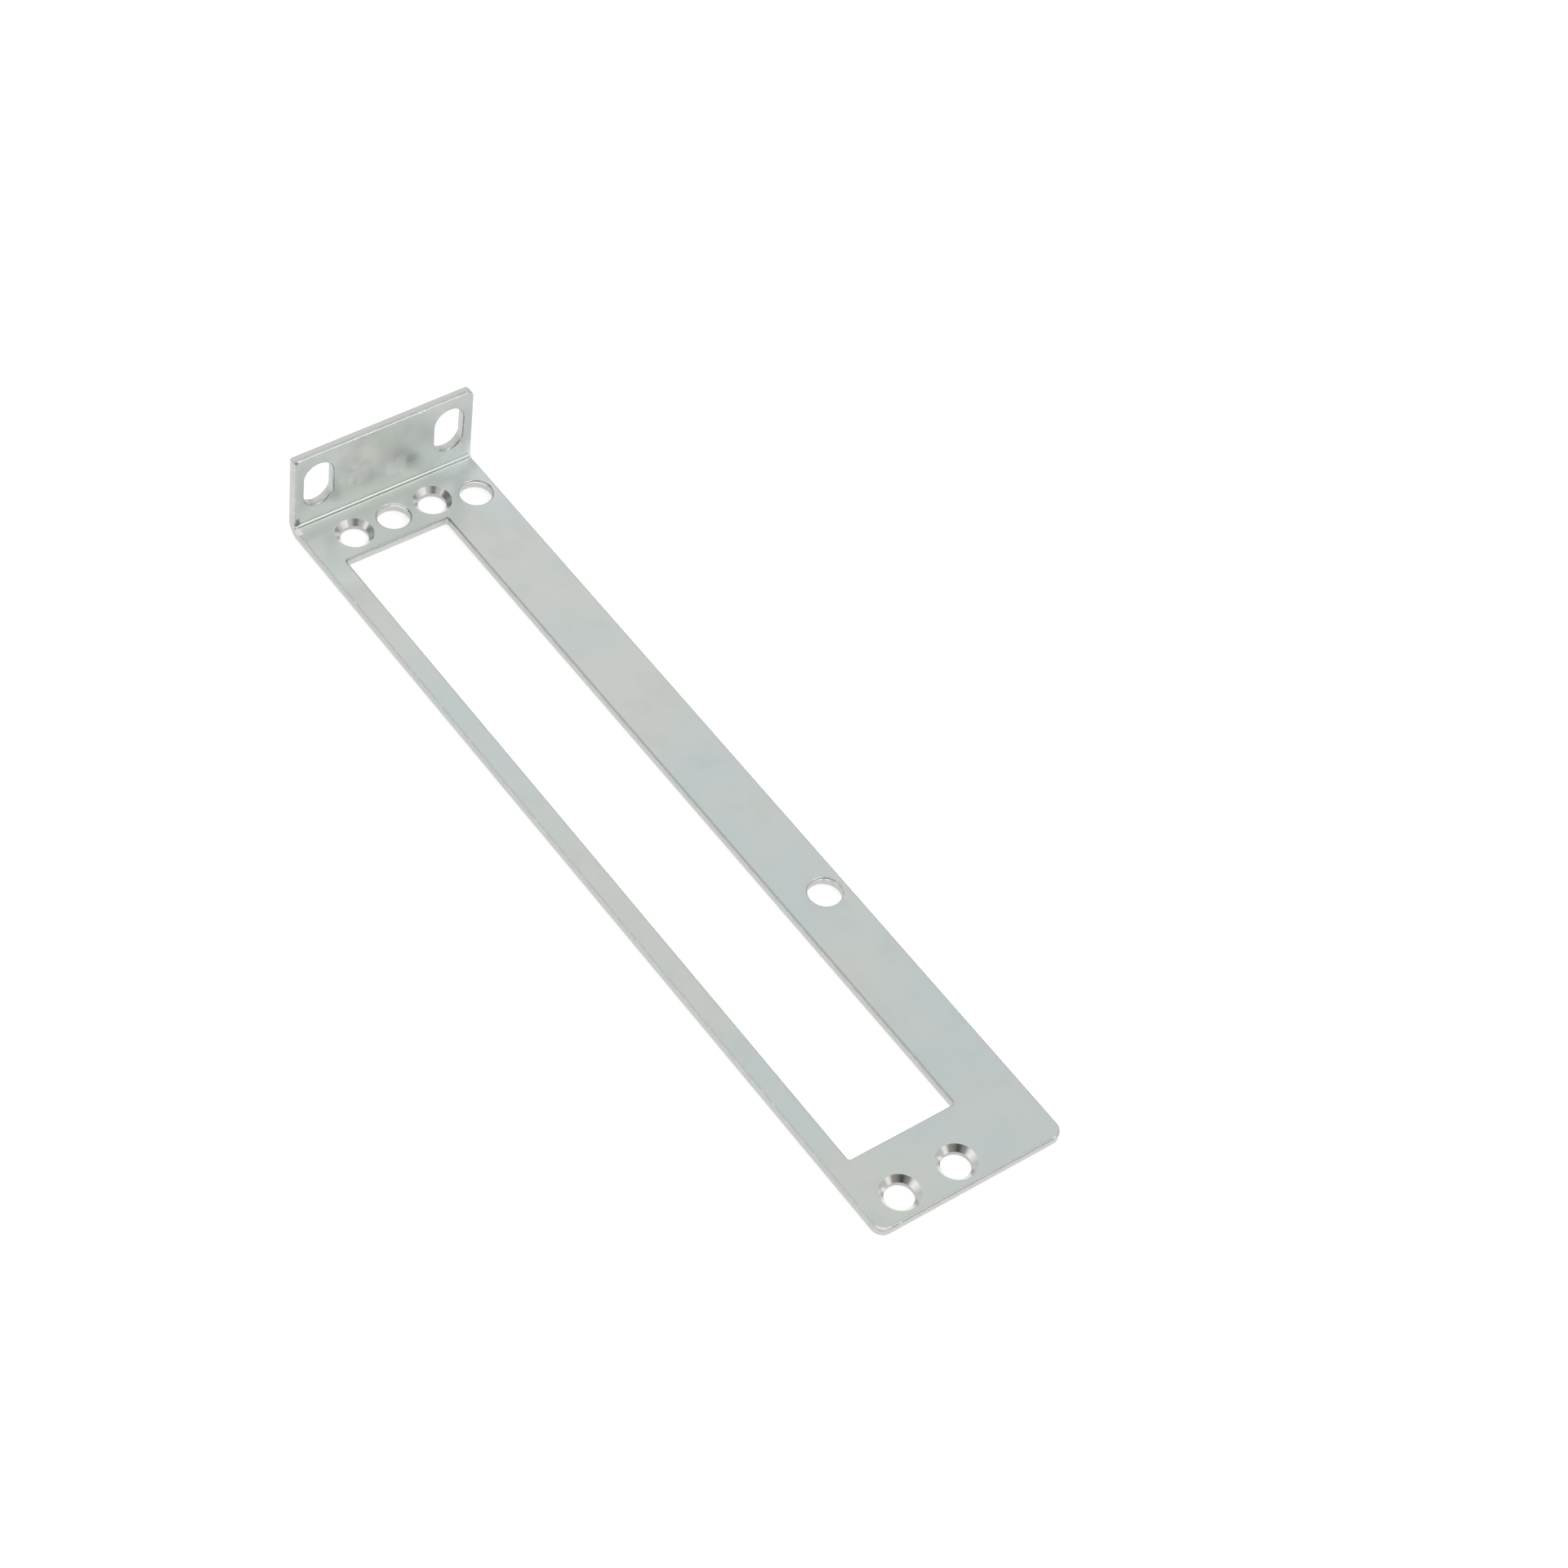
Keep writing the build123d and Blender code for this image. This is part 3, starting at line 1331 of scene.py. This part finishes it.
        mesh.shade_smooth()
        mesh.normals_split_custom_set(np.concatenate(normals).tolist())
        return new_object("rack_ear_sheet", mesh)

    def dress(self, piece: bpy.types.Object) -> None:
        """Gives the piece its finishes, in the order of the Finish slots.

        Args:
            piece: the sheet.
        """
        materials = {
            Finish.FACE: RolledZinc().build(self.fold),
            Finish.ROLLED: RolledEdgeZinc().build(),
            Finish.SHEARED: ShearedZinc().build(),
            Finish.TORN: TornZinc().build(),
            Finish.TURNED: TurnedZinc().build(),
        }
        for kind in Finish:
            piece.data.materials.append(materials[kind])


@dataclass(frozen=True)
class PhotoCamera:
    """The camera, solved from the bracket's outline and holes in a 1920 by 1920 picture."""

    eye: tuple[float, float, float] = (394.83 * MM, -329.71 * MM, 608.06 * MM)
    target: tuple[float, float, float] = (5.577 * MM, 27.214 * MM, 0.0)
    roll: float = math.radians(9.048)
    lens: float = 92.363
    film: float = 36.0

    def build(self) -> bpy.types.Object:
        """Makes the scene's camera.

        Returns:
            The camera.
        """
        data = bpy.data.cameras.new("photo_camera")
        data.lens = self.lens
        data.sensor_width = self.film
        camera = new_object("photo_camera", data)
        aim = (Vector(self.target) - Vector(self.eye)).to_track_quat("-Z", "Y").to_matrix()
        turned = aim @ Matrix.Rotation(self.roll, 3, "Z")
        camera.matrix_world = Matrix.Translation(self.eye) @ turned.to_4x4()
        bpy.context.scene.camera = camera
        return camera


def sky_way(azimuth: float, elevation: float) -> tuple[float, float, float]:
    """The direction at an azimuth, counter-clockwise from +X, and an elevation, both in degrees."""
    around, up = math.radians(azimuth), math.radians(elevation)
    return math.cos(up) * math.cos(around), math.cos(up) * math.sin(around), math.sin(up)


@dataclass(frozen=True)
class SkyPatch:
    """A round, soft-edged patch of the sky, cut to a band of elevation.

    Azimuth runs counter-clockwise from +X. Every angle is in degrees.
    """

    azimuth: float
    elevation: float
    inner: float
    outer: float
    colour: Colour
    low: float = -90.0
    high: float = 90.0
    edge: float = 4.0

    def share(self, shader: Shader, way: Signal, height: Signal) -> Signal:
        """How much of the patch lies in a direction, from 0 to 1.

        The share falls smoothly from the inner to the outer angle from the middle, and over the edge
        past the lowest and the highest elevation.

        Args:
            shader: the world's shader.
            way: the direction.
            height: the direction's Z.

        Returns:
            The share.
        """
        middle = sky_way(self.azimuth, self.elevation)
        facing = shader.node("ShaderNodeVectorMath", {"operation": "DOT_PRODUCT"}, {0: way, 1: middle})
        near, far = math.cos(math.radians(self.outer)), math.cos(math.radians(self.inner))
        share = shader.remap(shader.out(facing, "Value"), near, far, 0, 1)
        if self.low > -90:
            start, end = (math.sin(math.radians(self.low + shift)) for shift in (-self.edge, 0))
            share = share * shader.remap(height, start, end, 0, 1)
        if self.high < 90:
            start, end = (math.sin(math.radians(self.high + shift)) for shift in (0, self.edge))
            share = share * shader.remap(height, start, end, 1, 0)
        return share


@dataclass(frozen=True)
class Studio:
    """A pale floor under a soft white sky with a few darker and brighter parts, and one broad lamp."""

    floor_colour: Colour = (0.55, 0.55, 0.55)
    floor_glow: float = 0.64
    floor_half: float = 3.0
    floor_gap: float = 0.05 * MM
    sky_colour: Colour = (0.945, 0.95, 0.955)
    sky_patches: tuple[SkyPatch, ...] = (
        SkyPatch(145, 42, 8, 24, (0.99, 0.995, 0.995)),
        SkyPatch(130, 62, 6, 22, (0.80, 0.835, 0.845)),
        SkyPatch(-140, 0, 70, 90, (0.62, 0.63, 0.62), high=14, edge=6),
        SkyPatch(30, 0, 60, 80, (0.62, 0.63, 0.62), high=11, edge=6),
        SkyPatch(85, 0, 45, 60, (0.60, 0.61, 0.60), high=22, edge=8),
        SkyPatch(-112, 27, 4, 14, (1.10, 1.10, 1.10)),
        SkyPatch(31, 20, 3, 11, (1.08, 1.08, 1.07)),
        SkyPatch(-62, 28, 8, 30, (0.20, 0.20, 0.195), low=18, high=38, edge=8),
        SkyPatch(-6, 26, 10, 26, (0.28, 0.245, 0.21), low=16, high=39, edge=8),
        SkyPatch(-36, 32, 8, 28, (0.165, 0.16, 0.145), low=20, edge=8),
        SkyPatch(-40, 31, 4, 16, (0.03, 0.03, 0.028)),
    )
    lamp_level: float = 1.85
    lamp_side: float = 0.7
    lamp_distance: float = 1.6
    lamp_azimuth: float = 36.0
    lamp_elevation: float = 57.0

    def floor(self) -> bpy.types.Object:
        """The floor, just under the object.

        The camera and a glossy reflection see it a little brighter than the light on it, so that it
        passes for the white of the picture and keeps the object's shadow.

        Returns:
            The floor.
        """
        half, z = self.floor_half, -self.floor_gap
        mesh = bpy.data.meshes.new("floor")
        mesh.from_pydata(
            [(-half, -half, z), (half, -half, z), (half, half, z), (-half, half, z)], [], [(0, 1, 2, 3)]
        )
        material, shader = new_material("pale_floor")
        paint = {"Base Color": self.floor_colour, "Roughness": 0.9, "Specular IOR Level": 0.0}
        glow = {"Emission Color": (1.0, 1.0, 1.0), "Emission Strength": self.floor_glow}
        plain = shader.node("ShaderNodeBsdfPrincipled", {}, paint)
        bright = shader.node("ShaderNodeBsdfPrincipled", {}, {**paint, **glow})
        mixed = shader.node(
            "ShaderNodeMixShader",
            {},
            {0: seen_ray(shader), 1: plain.outputs["BSDF"], 2: bright.outputs["BSDF"]},
        )
        shader.node("ShaderNodeOutputMaterial", {}, {"Surface": mixed.outputs["Shader"]})
        mesh.materials.append(material)
        plane = new_object("floor", mesh)
        return plane

    def sky(self) -> None:
        """Lights the world with the sky and its patches, and shows the camera plain white."""
        world = bpy.data.worlds.new("studio_sky")
        world.use_nodes = True
        bpy.context.scene.world = world
        shader = Shader(world.node_tree)
        way = shader.out(shader.node("ShaderNodeTexCoord", {}, {}), "Generated")
        height = shader.part(way, "Z")
        colour = self.sky_colour
        for patch in self.sky_patches:
            colour = shader.blend(patch.share(shader, way, height), colour, patch.colour)
        path = shader.node("ShaderNodeLightPath", {}, {})
        shown = shader.blend(shader.out(path, "Is Camera Ray"), colour, (1.0, 1.0, 1.0))
        back = shader.node("ShaderNodeBackground", {}, {"Color": shown, "Strength": 1.0})
        shader.node("ShaderNodeOutputWorld", {}, {"Surface": back.outputs["Background"]})

    def lamp(self) -> bpy.types.Object:
        """The broad lamp on the wide strip's side.

        Its power is its level times pi times its area.

        Returns:
            The lamp.
        """
        data = bpy.data.lights.new("broad_lamp", "AREA")
        data.shape = "SQUARE"
        data.size = self.lamp_side
        data.energy = self.lamp_level * math.pi * self.lamp_side**2
        lamp = new_object("broad_lamp", data)
        way = Vector(sky_way(self.lamp_azimuth, self.lamp_elevation))
        aim = (-way).to_track_quat("-Z", "Y").to_matrix().to_4x4()
        lamp.matrix_world = Matrix.Translation(self.lamp_distance * way) @ aim
        return lamp


def main() -> None:
    """Builds the sheet, its finishes and the studio."""
    logging.basicConfig(level=logging.INFO, format="%(name)s: %(message)s")
    sheet = EarSheet()
    piece = sheet.build()
    sheet.dress(piece)
    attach(piece, "root")
    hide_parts(sheet.NODE)
    log.info("%s: %d vertices, %d faces", piece.name, len(piece.data.vertices), len(piece.data.polygons))
    PhotoCamera().build()
    studio = Studio()
    studio.floor()
    studio.sky()
    studio.lamp()
    log.info("studio: floor, sky and lamp")
    bpy.context.scene.view_settings.view_transform = "Standard"


if __name__ == "__main__":
    main()
